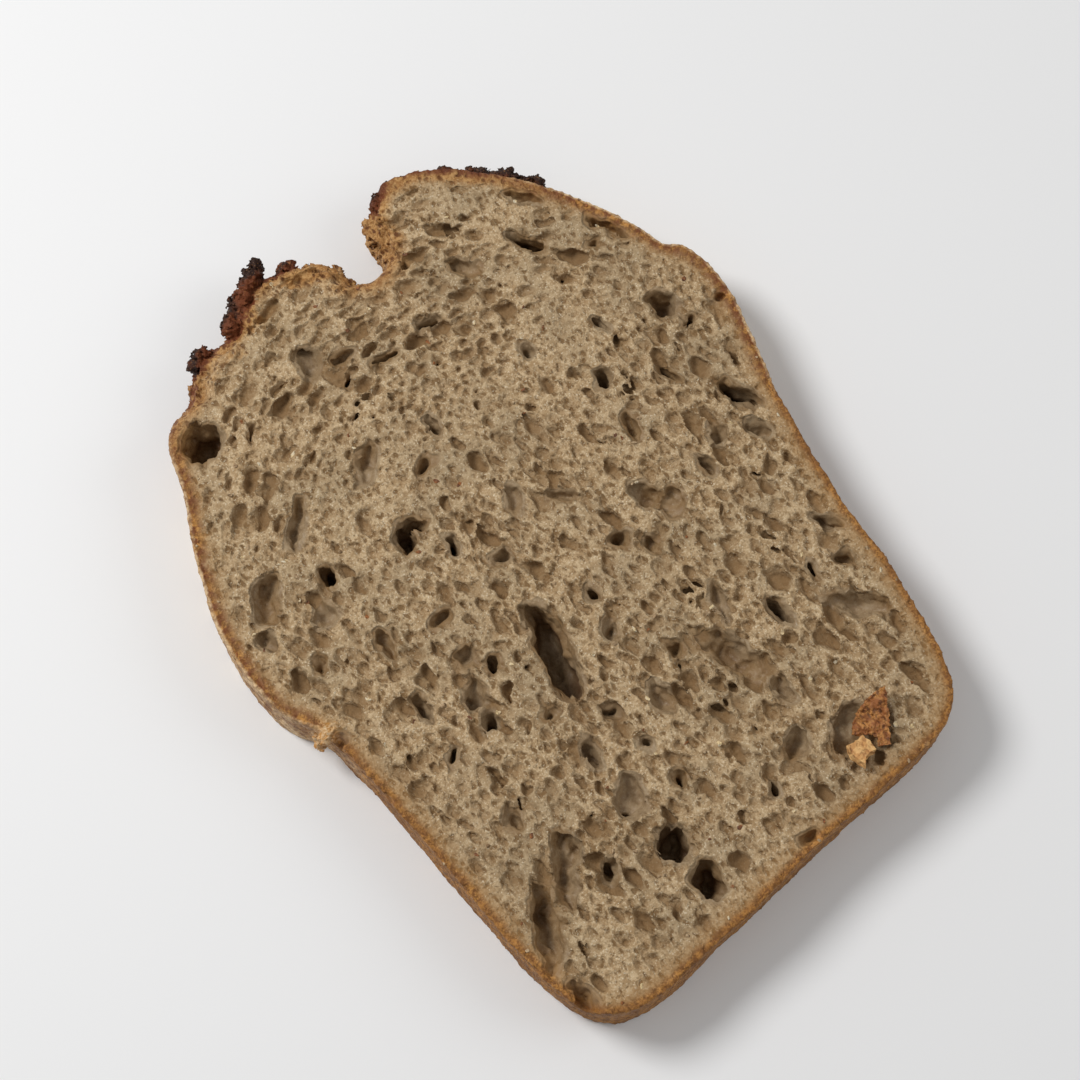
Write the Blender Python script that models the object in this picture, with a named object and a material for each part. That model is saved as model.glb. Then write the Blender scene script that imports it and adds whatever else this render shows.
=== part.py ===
"""One slice of a rye pan loaf, lying on its back face.

The slice lies flat, with its thickness along Z. The base of the loaf is towards -Y, the domed and torn
top of the loaf is towards +Y, and the two side walls face -X and +X. The origin is at the middle of
the bounding box, on the surface that the slice lies on.
"""

import math

import bmesh
import bpy
from mathutils import Matrix, Vector, noise

# Lengths are in millimetres until a point is placed. MM turns them into metres.
MM = 0.001

THICKNESS = 12.5
EDGE_ROUND = 0.5  # how far the knife's edge is rounded over
CRUST_BULGE = 0.5  # how far the crust stands out halfway up the wall
CRUST_WAVE = 0.45  # unevenness of the crust wall
CRUST_WAVE_LENGTH = 14.0
STEPS_PER_SPAN = 4  # straight pieces between two outline points

CUP_ROUGHNESS = 0.16  # unevenness of a bubble's wall, as a part of its size
CUP_SUBDIVISIONS = 2
UNDERSIDE_DEPTH = 0.45  # bubbles cut on the underside are this much shallower

# The slice's outline, round from the lower left corner. The loaf was baked in a tin, so the base is
# flat with round corners and the walls lean out. Above the tin they bulge, then turn in to the dome.
BASE = [(-38, -55), (-31, -58.1), (-16, -57.6), (2, -56.3), (18, -55.8), (29, -55.2), (36, -52.4)]
RIGHT_WALL = [(40, -46), (43.2, -33), (45, -18), (47.3, -4), (50.5, 8), (53.8, 18), (55.7, 27)]
CRUST_STEP = [(55, 34.5), (52.4, 37.5), (51.2, 42)]
DOME_RIGHT = [(48, 49.5), (43.5, 58.5), (38.5, 66), (32, 72.2), (25, 75.6), (19.5, 76), (15.6, 73.5)]
TORN_NOTCH = [(15, 68.5), (13.6, 65), (10.8, 63.6), (9.2, 66), (9, 70)]
DOME_LEFT = [(6.4, 73.6), (2, 76), (-4, 77.6), (-10, 76.6), (-14.5, 73.2), (-20, 72.4), (-24.4, 70.2)]
LEFT_SHOULDER = [(-27, 66.4), (-31, 65.2), (-34.2, 60.5), (-36.8, 53.5), (-41.5, 44.5), (-45.2, 35)]
LEFT_BULGE = [(-47.6, 26), (-47.9, 18.5), (-46.6, 12.2)]
TIN_FOLD = [(-44, 8), (-43.2, 3)]
LEFT_WALL = [(-42.7, -10), (-42.4, -25), (-42, -40), (-41, -49)]

OUTLINE = (
    BASE
    + RIGHT_WALL
    + CRUST_STEP
    + DOME_RIGHT
    + TORN_NOTCH
    + DOME_LEFT
    + LEFT_SHOULDER
    + LEFT_BULGE
    + TIN_FOLD
    + LEFT_WALL
)

# Burnt scraps of crust that stand out from the torn dome: x, y, half length, half width, turn in
# degrees, height of the middle above the underside, half thickness.
BURNT_SCRAPS = [
    (-6.5, 78.2, 5.6, 2.4, 32, 7.2, 3.4),
    (24, 76, 3.4, 1.6, -8, 8.0, 2.8),
    (41.8, 63.8, 4.2, 1.9, -52, 6.6, 3.2),
]

# Bubbles that the knife opened, the large and deep ones: x, y, half length, half width, turn in
# degrees, depth. The long side lies along X before the turn.
TOP_BUBBLES = [
    (-29.5, 58.6, 3.7, 3.2, 0, 9.0),
    (34.6, 53, 3.4, 1.1, -50, 8.0),
    (-7.3, -5.5, 9.6, 2.8, 74, 9.8),
    (45.2, 29.6, 3.4, 2.0, -65, 5.0),
    (44.6, 9.5, 4.2, 1.2, -68, 9.0),
    (-14, 24.6, 2.9, 1.7, 72, 8.0),
    (-27.5, 27.6, 2.0, 1.2, 70, 9.0),
    (28.6, 25.4, 1.8, 1.4, 90, 6.0),
    (-37.4, 31, 4.0, 2.2, 52, 4.0),
    (-25.8, 38, 5.0, 1.2, 45, 3.0),
    (-11, 38.6, 4.0, 1.6, 42, 2.6),
    (-7, 58.6, 3.1, 1.9, 60, 3.6),
    (24, 56, 2.6, 1.4, -60, 3.2),
    (21, 5.4, 2.9, 1.9, -76, 4.0),
    (13, 2.5, 2.0, 1.5, 90, 4.0),
    (-29.5, 0.8, 2.6, 1.1, 86, 4.0),
    (-22, -3, 2.6, 1.9, 55, 4.0),
    (-13.5, -22, 3.0, 1.3, 80, 5.0),
    (14.6, -24, 6.3, 2.5, -76, 4.2),
    (25, -23.2, 3.4, 0.9, -84, 5.0),
    (35.6, -30.2, 5.6, 1.8, -50, 3.6),
    (-13, -31.4, 3.6, 2.6, 48, 3.4),
    (-28.2, -33.6, 6.2, 1.9, 56, 4.2),
    (-36.2, -38.6, 8.2, 1.9, 62, 5.0),
    (-13, -41.4, 3.5, 2.6, 62, 10.0),
    (-12.3, -49.2, 3.9, 2.3, 84, 8.0),
    (-39, -50.6, 3.0, 1.5, -84, 4.0),
    (12.4, -41.4, 2.6, 1.8, 24, 4.2),
    (20.6, -45.6, 4.6, 3.4, 30, 3.2),
    (1.2, -22.2, 3.0, 1.6, 90, 3.0),
]
UNDERSIDE_BUBBLES = [
    (30, 44, 4.2, 1.5, -48, 7.0),
    (-22, 52, 3.6, 1.5, 44, 6.0),
    (-33, 14, 4.0, 1.5, 70, 6.0),
    (24, -36, 5.2, 1.8, -70, 8.0),
    (-24, -20, 4.8, 1.5, 80, 6.0),
    (38, -8, 3.6, 1.2, 84, 6.0),
    (-30, -46, 4.4, 1.8, 50, 7.0),
]


def clear_scene():
    for obj in list(bpy.data.objects):
        bpy.data.objects.remove(obj)


def smooth_loop(points, steps):
    """A closed Catmull-Rom curve through the points, as a list of 2-D vectors."""
    corners = [Vector(point) for point in points]
    count = len(corners)
    loop = []
    for i in range(count):
        before, start, end, after = (corners[(i + k) % count] for k in (-1, 0, 1, 2))
        for step in range(steps):
            t = step / steps
            loop.append(
                0.5
                * (
                    2 * start
                    + (end - before) * t
                    + (2 * before - 5 * start + 4 * end - after) * t**2
                    + (3 * start - before - 3 * end + after) * t**3
                )
            )
    return loop


def outward_normals(loop):
    """The outward direction at each point of a loop that runs counter-clockwise."""
    normals = []
    for i in range(len(loop)):
        along = (loop[(i + 1) % len(loop)] - loop[i - 1]).normalized()
        normals.append(Vector((along.y, -along.x)))
    return normals


def crust_wave(x, y, height):
    """A slow unevenness of the crust wall, from -1 to 1."""
    return noise.noise(Vector((x, y, 2.0 * height)) / CRUST_WAVE_LENGTH)


def add_slab(bm):
    """The whole slice before its bubbles: rings of the outline from the underside to the top face."""
    loop = smooth_loop(OUTLINE, STEPS_PER_SPAN)
    normals = outward_normals(loop)
    levels = [
        (0.0, -EDGE_ROUND),
        (EDGE_ROUND, 0.0),
        (THICKNESS / 2, CRUST_BULGE),
        (THICKNESS - EDGE_ROUND, 0.0),
        (THICKNESS, -EDGE_ROUND),
    ]
    rings = []
    for height, outward in levels:
        ring = []
        for point, normal in zip(loop, normals):
            wave = CRUST_WAVE * crust_wave(point.x, point.y, height)
            place = point + normal * (outward + wave)
            ring.append(bm.verts.new((place.x, place.y, height)))
        rings.append(ring)
    for lower, upper in zip(rings, rings[1:]):
        for i in range(len(lower)):
            j = (i + 1) % len(lower)
            bm.faces.new((lower[i], lower[j], upper[j], upper[i]))
    bm.faces.new(list(reversed(rings[0])))
    bm.faces.new(rings[-1])


def add_lump(bm, place, radii, turn):
    """An uneven egg shape: a bubble's hollow or a scrap of crust."""
    matrix = (
        Matrix.Translation(place)
        @ Matrix.Rotation(math.radians(turn), 4, "Z")
        @ Matrix.Diagonal((*radii, 1.0))
    )
    made = bmesh.ops.create_icosphere(bm, subdivisions=CUP_SUBDIVISIONS, radius=1.0)
    for vert in made["verts"]:
        uneven = 1 + CUP_ROUGHNESS * noise.noise(vert.co * 1.3 + Vector(place))
        vert.co = matrix @ (vert.co * uneven)


def new_object(name, fill):
    """A mesh object whose shape is made by fill(bm), turned from millimetres into metres."""
    bm = bmesh.new()
    fill(bm)
    bmesh.ops.scale(bm, vec=(MM, MM, MM), verts=bm.verts)
    mesh = bpy.data.meshes.new(name)
    bm.to_mesh(mesh)
    bm.free()
    obj = bpy.data.objects.new(name, mesh)
    bpy.context.scene.collection.objects.link(obj)
    return obj


def add_scraps(bm):
    for x, y, length, width, turn, height, half in BURNT_SCRAPS:
        add_lump(bm, (x, y, height), (length, width, half), turn)


def add_bubbles(bm):
    for x, y, length, width, turn, depth in TOP_BUBBLES:
        add_lump(bm, (x, y, THICKNESS), (length, width, depth), turn)
    for x, y, length, width, turn, depth in UNDERSIDE_BUBBLES:
        add_lump(bm, (x, y, 0.0), (length, width, depth * UNDERSIDE_DEPTH), turn)


def add_boolean(obj, operation, helper):
    helper.hide_render = True
    helper.display_type = "WIRE"
    boolean = obj.modifiers.new(operation.title(), "BOOLEAN")
    boolean.operation = operation
    boolean.solver = "EXACT"
    boolean.use_self = True
    boolean.object = helper


def bread_material():
    material = bpy.data.materials.new("rye_bread")
    material.use_nodes = True
    shader = material.node_tree.nodes["Principled BSDF"]
    shader.inputs["Base Color"].default_value = (0.31, 0.22, 0.14, 1.0)
    shader.inputs["Roughness"].default_value = 0.85
    shader.inputs["Metallic"].default_value = 0.0
    return material


def centre_over_origin(obj):
    """Moves the mesh so that the middle of its box is over the origin. Its underside is at zero."""
    bpy.context.view_layer.update()
    graph = bpy.context.evaluated_depsgraph_get()
    corners = [Vector(corner) for corner in obj.evaluated_get(graph).bound_box]
    low = [min(corner[axis] for corner in corners) for axis in range(2)]
    high = [max(corner[axis] for corner in corners) for axis in range(2)]
    shift = Vector((-(low[0] + high[0]) / 2, -(low[1] + high[1]) / 2, 0.0))
    for each in bpy.data.objects:
        each.data.transform(Matrix.Translation(shift))


def build():
    clear_scene()
    bread = new_object("slice", add_slab)
    add_boolean(bread, "UNION", new_object("burnt_scraps", add_scraps))
    add_boolean(bread, "DIFFERENCE", new_object("bubble_hollows", add_bubbles))
    bread.data.materials.append(bread_material())
    centre_over_origin(bread)
    bread.data.shade_smooth()
    bread.data.set_sharp_from_angle(angle=math.radians(35))


build()
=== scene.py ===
import math

import bmesh
import bpy
from mathutils import Matrix, Vector, noise


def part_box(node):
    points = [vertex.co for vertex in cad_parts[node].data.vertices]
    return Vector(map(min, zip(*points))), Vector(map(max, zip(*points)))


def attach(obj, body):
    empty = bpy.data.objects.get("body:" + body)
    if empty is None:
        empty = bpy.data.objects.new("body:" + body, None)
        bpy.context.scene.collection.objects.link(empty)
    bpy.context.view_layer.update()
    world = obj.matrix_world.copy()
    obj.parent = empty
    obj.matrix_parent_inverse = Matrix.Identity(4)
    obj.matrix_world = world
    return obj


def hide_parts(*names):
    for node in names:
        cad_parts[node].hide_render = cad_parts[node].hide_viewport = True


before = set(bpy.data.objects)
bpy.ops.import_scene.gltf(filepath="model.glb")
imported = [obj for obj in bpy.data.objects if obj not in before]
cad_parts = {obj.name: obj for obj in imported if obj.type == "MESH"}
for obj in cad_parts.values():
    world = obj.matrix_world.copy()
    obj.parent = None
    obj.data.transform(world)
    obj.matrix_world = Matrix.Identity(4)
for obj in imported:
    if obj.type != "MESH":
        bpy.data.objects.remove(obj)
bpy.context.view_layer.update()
mm = 0.001

sliceLow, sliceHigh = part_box("slice")
thickness = (sliceHigh[2] - sliceLow[2]) / mm


def addNode(tree, kind, settings=None, **inputs):
    node = tree.nodes.new(kind)
    for key, value in (settings or {}).items():
        setattr(node, key, value)
    for key, value in inputs.items():
        setInput(tree, node, key.replace("_", " "), value)
    return node


def findSocket(sockets, name):
    found = [s for s in sockets if s.enabled and (s.name == name or s.identifier == name)]
    if not found:
        raise KeyError(name + " not in " + ", ".join(s.name for s in sockets if s.enabled))
    return found[0]


def setInput(tree, node, name, value):
    socket = node.inputs[name] if isinstance(name, int) else findSocket(node.inputs, name)
    if isinstance(value, bpy.types.NodeSocket):
        tree.links.new(value, socket)
    else:
        socket.default_value = value


def maths(tree, operation, *values, clamp=False):
    node = tree.nodes.new("ShaderNodeMath")
    node.operation = operation
    node.use_clamp = clamp
    for index, value in enumerate(values):
        setInput(tree, node, index, value)
    return node.outputs[0]


def vectorMaths(tree, operation, *values, out=0):
    node = tree.nodes.new("ShaderNodeVectorMath")
    node.operation = operation
    for index, value in enumerate(values):
        if operation == "SCALE" and index == 1:
            index = 3
        setInput(tree, node, index, value)
    return node.outputs[out]


def remap(tree, value, low, high, outLow, outHigh, kind="SMOOTHSTEP"):
    node = tree.nodes.new("ShaderNodeMapRange")
    node.interpolation_type = kind
    for index, each in enumerate((value, low, high, outLow, outHigh)):
        setInput(tree, node, index, each)
    return node.outputs[0]


def readField(tree, kind):
    return addNode(tree, kind).outputs[0]


def newTree(name, inputs):
    tree = bpy.data.node_groups.new(name, "GeometryNodeTree")
    tree.interface.new_socket("Geometry", in_out="OUTPUT", socket_type="NodeSocketGeometry")
    for label, kind, value in inputs:
        socket = tree.interface.new_socket(label, in_out="INPUT", socket_type="NodeSocket" + kind)
        if value is not None:
            socket.default_value = value
    groupIn = tree.nodes.new("NodeGroupInput")
    groupOut = tree.nodes.new("NodeGroupOutput")
    return tree, groupIn, groupOut


def finishTree(tree, geometry, material, groupOut):
    real = addNode(tree, "GeometryNodeRealizeInstances", None, Geometry=geometry)
    dressed = addNode(tree, "GeometryNodeSetMaterial", None, Geometry=real.outputs[0], Material=material)
    tree.links.new(dressed.outputs[0], groupOut.inputs[0])


def linkObject(name, mesh):
    piece = bpy.data.objects.new(name, mesh)
    bpy.context.scene.collection.objects.link(piece)
    return piece


def runTree(name, tree, values, startMesh=None):
    # the tree's result as a plain mesh: the carrier object and its modifier go again
    carrier = linkObject(name + "Carrier", startMesh or bpy.data.meshes.new(name + "Start"))
    modifier = carrier.modifiers.new("grow", "NODES")
    modifier.node_group = tree
    for item in tree.interface.items_tree:
        if item.in_out == "INPUT" and item.name in values:
            modifier[item.identifier] = values[item.name]
    bpy.context.view_layer.update()
    graph = bpy.context.evaluated_depsgraph_get()
    mesh = bpy.data.meshes.new_from_object(carrier.evaluated_get(graph), depsgraph=graph)
    mesh.name = name
    carrier.modifiers.remove(modifier)
    bpy.data.objects.remove(carrier)
    return mesh


drawing = {
    "centre": (4.0, 11.9),  # where the slice's middle lies in the lists below
    "cutHeight": 2.0,  # the CAD slice is read at this height for its outline
    "bubbleUnevenness": 0.22,
    "scrapUnevenness": 0.35,
    "leastGap": 0.5,
    "fineness": 3,  # how often a lump's ball is subdivided
}

# large bubbles of the shown face: x, y, half length, half width, turn in degrees, depth
faceBubbles = [
    (-29.5, 58.6, 3.7, 3.2, 0, 9.0), (34.6, 53, 3.6, 1.1, -50, 9.0), (-7.3, -5.5, 9.6, 2.8, 74, 9.8),
    (45.2, 29.6, 3.4, 2.0, -65, 5.0), (44.6, 9.5, 4.2, 1.2, -68, 9.0), (-14, 24.6, 2.9, 1.7, 72, 8.0),
    (-11.4, 25.6, 1.9, 0.9, -30, 7.0), (-27.5, 27.6, 2.0, 1.2, 70, 9.5), (-8.9, 19.0, 1.6, 0.7, 82, 9.0),
    (28.6, 25.4, 1.8, 1.4, 90, 6.0), (-37.4, 31, 4.0, 2.2, 52, 4.0), (-25.8, 38, 5.0, 1.2, 45, 3.0),
    (-11, 38.6, 4.0, 1.6, 42, 2.6), (-3.6, 32.3, 2.0, 1.2, 15, 3.2), (1.6, 36.8, 2.3, 0.9, 86, 3.2),
    (22, 37.5, 1.5, 0.9, 85, 3.0), (-7, 58.6, 3.1, 1.9, 60, 3.6), (-2, 56, 1.9, 1.0, -12, 3.0),
    (3, 51.3, 2.4, 0.6, -8, 5.0), (12.6, 51.9, 1.9, 0.8, -14, 6.0), (-4.4, 52.6, 1.3, 0.5, 42, 6.0),
    (24, 56, 2.6, 1.4, -60, 3.2), (47.0, 46.0, 4.2, 0.7, -62, 4.0), (39.2, 59.4, 3.4, 0.6, -52, 3.0),
    (21, 5.4, 2.9, 1.9, -76, 4.0), (23.6, 1.8, 2.8, 1.8, 62, 2.8), (13, 2.5, 2.0, 1.5, 90, 4.0),
    (16.6, -1.4, 1.7, 1.1, 70, 3.2), (3.8, -2.2, 1.5, 0.7, 80, 6.0), (36.9, 6.4, 1.8, 1.3, 70, 3.2),
    (42.9, 2.6, 2.0, 0.9, -72, 4.0), (31.9, 3.0, 2.6, 0.7, -84, 3.0), (-29.5, 0.8, 2.6, 1.1, 86, 4.0),
    (-19, 2.7, 1.9, 1.7, 20, 3.0), (-16.5, -0.9, 1.4, 1.0, 80, 5.5), (-22, -3, 2.6, 1.9, 55, 4.0),
    (-22.6, -8.0, 1.6, 1.3, 25, 6.5), (-18, 10.4, 2.0, 1.1, 12, 3.0), (-4, 12.1, 1.9, 1.0, -8, 3.0),
    (-42, 25, 1.5, 1.2, 60, 3.0), (-43.3, 4.8, 1.5, 1.1, 10, 3.0), (-13.5, -22, 3.0, 1.3, 80, 5.0),
    (1.2, -22.2, 3.0, 1.6, 90, 3.0), (14.6, -24, 6.3, 2.5, -76, 4.2), (25, -23.2, 3.4, 0.9, -84, 5.5),
    (33.9, -21.5, 1.5, 0.7, 90, 4.0), (39, -23, 1.7, 1.1, -60, 3.2), (41, -17, 2.8, 0.9, -62, 3.2),
    (35.6, -30.2, 5.6, 1.8, -50, 3.6), (-13, -31.4, 3.6, 2.6, 48, 3.4), (-15.2, -32.6, 0.9, 0.7, 60, 6.5),
    (-28.2, -33.6, 6.2, 1.9, 56, 4.2), (-25.6, -31.0, 3.2, 1.3, 82, 3.6), (-36.2, -38.6, 8.2, 1.9, 62, 5.0),
    (-23, -38, 2.0, 1.2, 66, 6.5), (-13, -41.4, 3.5, 2.6, 62, 10.0), (-12.3, -49.2, 3.9, 2.3, 84, 8.0),
    (-39, -50.6, 3.0, 1.5, -84, 4.0), (12.4, -41.4, 2.6, 1.8, 24, 4.2), (20.6, -45.6, 4.6, 3.4, 30, 3.2),
    (5, -44.8, 1.5, 0.6, 66, 4.5), (17, -33.5, 2.7, 1.2, 84, 3.0), (4.1, -54.2, 1.8, 1.2, -20, 3.0),
    (-5.4, -33.8, 1.0, 0.9, 0, 5.0), (-30, -22.5, 1.9, 1.4, 60, 3.0), (27, 16, 2.6, 1.0, 84, 2.8),
    (38, 19.5, 2.4, 0.6, -80, 5.5), (46.6, 24.6, 1.1, 0.6, 0, 4.5), (53.1, 24.4, 1.3, 0.9, -20, 2.6),
    (-6.6, -18.6, 1.4, 0.8, -60, 4.5), (-6, -26, 1.2, 0.9, 80, 4.0), (7.8, -17.4, 1.5, 0.9, -50, 3.0),
    (18.4, -16, 3.4, 1.1, 76, 2.6), (10.4, 14.2, 2.6, 1.1, -38, 2.8), (-27.4, 12.4, 2.6, 1.0, 82, 3.0),
    (-38, 16.4, 1.5, 1.1, 60, 3.4), (-32, 22.6, 2.4, 1.7, 20, 2.2), (4, 18.6, 2.6, 1.6, 70, 2.0),
    (2.2, -8.2, 1.9, 1.2, 80, 3.2), (-30.6, -8.6, 1.9, 0.7, 48, 5.0), (-43.6, -7.2, 2.3, 0.8, 90, 2.6),
    (-14.4, -12.8, 1.3, 1.2, 0, 2.6), (34.4, 33.2, 1.5, 0.6, -70, 4.5), (43, 45.6, 0.9, 0.6, 20, 4.5),
]
# bubbles of the face it lies on
backBubbles = [
    (30, 44, 4.2, 1.5, -48, 3.2), (-22, 52, 3.6, 1.5, 44, 2.7), (-33, 14, 4.0, 1.5, 70, 2.7),
    (24, -36, 5.2, 1.8, -70, 3.6), (-24, -20, 4.8, 1.5, 80, 2.7), (38, -8, 3.6, 1.2, 84, 2.7),
    (-30, -46, 4.4, 1.8, 50, 3.2), (8, 30, 3.0, 1.2, 80, 2.6), (-4, -38, 3.4, 1.3, 88, 3.0),
    (14, 6, 2.6, 1.4, 70, 2.4), (-12, 10, 2.4, 1.2, 95, 2.2), (6, 62, 2.8, 0.9, 4, 2.2),
]

# scraps of torn, burnt crust that stand out from the dome: x, y, half length, half width, turn,
# height of the middle, half thickness
burntScraps = [
    (-12.4, 73.0, 2.6, 1.9, 40, 9.6, 2.6), (-8.8, 75.2, 3.4, 2.2, 34, 9.4, 2.8),
    (-5.2, 77.6, 2.8, 1.9, 32, 9.0, 2.6), (-3.0, 79.2, 1.8, 1.4, 50, 8.8, 2.0),
    (0.6, 75.2, 1.9, 1.4, 0, 10.0, 1.8), (21.0, 75.4, 2.2, 1.5, 10, 9.0, 2.2),
    (24.8, 75.6, 2.6, 1.7, -20, 8.6, 2.4), (-20.6, 71.8, 2.6, 1.5, 16, 9.2, 2.2),
    (37.0, 68.6, 2.6, 1.6, -46, 8.8, 2.6), (40.2, 65.4, 3.0, 1.9, -44, 8.0, 3.0),
    (43.0, 61.8, 2.8, 1.9, -56, 7.4, 3.0), (33.0, 72.0, 2.2, 1.2, -38, 9.2, 2.2),
]
# floury lumps in the fold where the loaf rose out of its tin
flouryFolds = [
    (-44.2, 7.0, 1.7, 0.9, 35, 11.2, 1.3), (-45.0, 8.0, 1.5, 1.0, 60, 7.0, 2.6),
]


def readOutline():
    # the longest loop of the CAD slice at one height, in millimetres
    bm = bmesh.new()
    bm.from_mesh(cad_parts["slice"].data)
    bmesh.ops.remove_doubles(bm, verts=bm.verts, dist=1e-6)
    cut = bmesh.ops.bisect_plane(
        bm, geom=bm.verts[:] + bm.edges[:] + bm.faces[:],
        plane_co=(0, 0, sliceLow[2] + drawing["cutHeight"] * mm), plane_no=(0, 0, 1),
        clear_inner=True, clear_outer=True,
    )
    edges = {e for e in cut["geom_cut"] if isinstance(e, bmesh.types.BMEdge)}
    loops = []
    while edges:
        edge = edges.pop()
        chain, vert = [edge.verts[0]], edge.verts[1]
        while vert is not chain[0]:
            chain.append(vert)
            edge = next(e for e in vert.link_edges if e in edges)
            edges.discard(edge)
            vert = edge.other_vert(vert)
        loops.append([Vector((v.co.x, v.co.y)) / mm for v in chain])
    bm.free()
    outline = max(loops, key=lambda loop: sum((a - b).length for a, b in zip(loop, loop[1:])))
    area = sum(a.x * b.y - b.x * a.y for a, b in zip(outline, outline[1:] + outline[:1]))
    return outline if area > 0 else outline[::-1]


def buildWall(outline):
    # an upright ribbon along the outline, facing out, that only serves to measure from
    reach = 3 * thickness
    bm = bmesh.new()
    rings = [[bm.verts.new(Vector((p.x, p.y, z)) * mm) for p in outline] for z in (-reach, reach)]
    for i in range(len(outline)):
        j = (i + 1) % len(outline)
        bm.faces.new((rings[0][i], rings[0][j], rings[1][j], rings[1][i]))
    mesh = bpy.data.meshes.new("wallRibbon")
    bm.to_mesh(mesh)
    bm.free()
    return mesh


def addEgg(bm, place, radii, turn, unevenness):
    made = bmesh.ops.create_icosphere(bm, subdivisions=drawing["fineness"], radius=1.0)
    matrix = (
        Matrix.Translation(Vector(place) * mm) @ Matrix.Rotation(math.radians(turn), 4, "Z")
        @ Matrix.Diagonal((radii[0] * mm, radii[1] * mm, radii[2] * mm, 1.0))
    )
    for vert in made["verts"]:
        lumps = noise.noise(vert.co * 1.4 + Vector(place))
        lumps += 0.5 * noise.noise(vert.co * 3.1 + Vector(place))
        vert.co = matrix @ (vert.co * (1 + unevenness * lumps))


def gapBetween(first, second):
    apart = math.hypot(first[0] - second[0], first[1] - second[1])
    return apart - first[2] - second[2]


def sortApart(lumps):
    # sets in which no lump reaches another, so that each set has a clear inside and outside
    groups = []
    for lump in lumps:
        for group in groups:
            if min(gapBetween(lump, other) for other in group) > drawing["leastGap"]:
                group.append(lump)
                break
        else:
            groups.append([lump])
    return groups


def buildEggs(name, lumps, unevenness):
    # lumps: x, y, half length, half width, turn, height of the middle, half height
    cx, cy = drawing["centre"]
    bm = bmesh.new()
    for x, y, length, width, turn, height, half in lumps:
        addEgg(bm, (x - cx, y - cy, height), (length, width, half), turn, unevenness)
    mesh = bpy.data.meshes.new(name)
    bm.to_mesh(mesh)
    bm.free()
    mesh.shade_smooth()
    return linkObject(name, mesh)


outline = readOutline()
print("outline read:", len(outline), "points")
bubbles = [(x, y, a, b, turn, thickness, depth) for x, y, a, b, turn, depth in faceBubbles]
backs = [(x, y, a, b, turn, 0.0, depth) for x, y, a, b, turn, depth in backBubbles]
eggs = {}
for index, group in enumerate(sortApart(bubbles)):
    eggs[f"Bubbles {index + 1}"] = buildEggs(f"bubbleEggs{index + 1}", group, drawing["bubbleUnevenness"])
eggs["Bubbles back"] = buildEggs("backEggs", backs, drawing["bubbleUnevenness"])
for index, group in enumerate(sortApart(burntScraps + flouryFolds)):
    eggs[f"Scraps {index + 1}"] = buildEggs(f"scrapEggs{index + 1}", group, drawing["scrapUnevenness"])
print("sets of lumps:", ", ".join(eggs))

storedFields = ("rim", "bubble", "pore", "sunk", "scrap")

# the pores' cells, sizes and shares, in millimetres
crumbSizes = {
    "Voxel": 0.32,
    "Thickness": thickness,
    "Deep cell": 4.6,
    "Deep least": 0.5,
    "Deep most": 1.5,
    "Deep share": 0.3,
    "Medium cell": 3.5,
    "Medium least": 0.65,
    "Medium most": 1.5,
    "Medium share": 0.8,
    "Small cell": 1.8,
    "Small least": 0.4,
    "Small most": 0.9,
    "Small share": 0.97,
    "Stretch": 1.8,
    "Grain": 0.4,
}
# where the dome tore open, from the slice's middle: from which height, and up to which side
tear = {"start": 50.0, "full": 56.0, "side": 14.0, "sideEnd": 19.0, "reach": 5.0, "depth": 4.5}
domeCentre, domeRadius = 2.0, 44.0  # of the arcs that the pores near the top follow
risenFrom, risenTo = 12.0, 34.0  # heights between which the pores turn from upright to those arcs


def poreLayer(tree, place, cell, least, most, share, shrink, below=None):
    # distance in millimetres to the wall of the nearest pore, less than nothing inside it. Given the
    # depth below the cut face the pores are open bowls in that face, else they lie all through
    voronoi = addNode(
        tree, "ShaderNodeTexVoronoi", {"voronoi_dimensions": "2D" if below else "3D", "feature": "F1"},
        Vector=vectorMaths(tree, "SCALE", place, maths(tree, "DIVIDE", 1.0, cell)),
        Scale=1.0, Randomness=1.0,
    )
    pick = addNode(tree, "ShaderNodeSeparateXYZ", None, Vector=voronoi.outputs["Color"])
    size = remap(tree, maths(tree, "POWER", pick.outputs[0], 1.7), 0, 1, least, most, "LINEAR")
    there = maths(tree, "LESS_THAN", pick.outputs[1], share)
    radius = maths(tree, "MULTIPLY", maths(tree, "MULTIPLY", size, shrink), there)
    gone = maths(tree, "SUBTRACT", 1.0, there)
    apart = maths(tree, "MULTIPLY", voronoi.outputs["Distance"], cell)
    if below:
        lift = maths(tree, "MULTIPLY", remap(tree, pick.outputs[2], 0, 1, -0.45, 0.3, "LINEAR"), radius)
        down = maths(tree, "MULTIPLY", maths(tree, "ADD", below, lift), 0.85)
        apart = maths(tree, "SQRT", maths(tree, "ADD", maths(tree, "MULTIPLY", apart, apart),
                                          maths(tree, "MULTIPLY", down, down)))
    return maths(tree, "SUBTRACT", apart, maths(tree, "SUBTRACT", radius, gone))


def signedDistance(tree, target, place):
    # millimetres from the faces of target, above zero on their outer side
    near = addNode(tree, "GeometryNodeProximity", {"target_element": "FACES"}, Geometry=target,
                   Sample_Position=place)
    facing = addNode(tree, "GeometryNodeSampleNearestSurface", {"data_type": "FLOAT_VECTOR"}, Mesh=target,
                     Value=readField(tree, "GeometryNodeInputNormal"), Sample_Position=place)
    away = vectorMaths(tree, "SUBTRACT", place, near.outputs["Position"])
    side = maths(tree, "SIGN", vectorMaths(tree, "DOT_PRODUCT", away, facing.outputs["Value"], out=1))
    return maths(tree, "MULTIPLY", maths(tree, "MULTIPLY", near.outputs["Distance"], 1 / mm), side)


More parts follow.
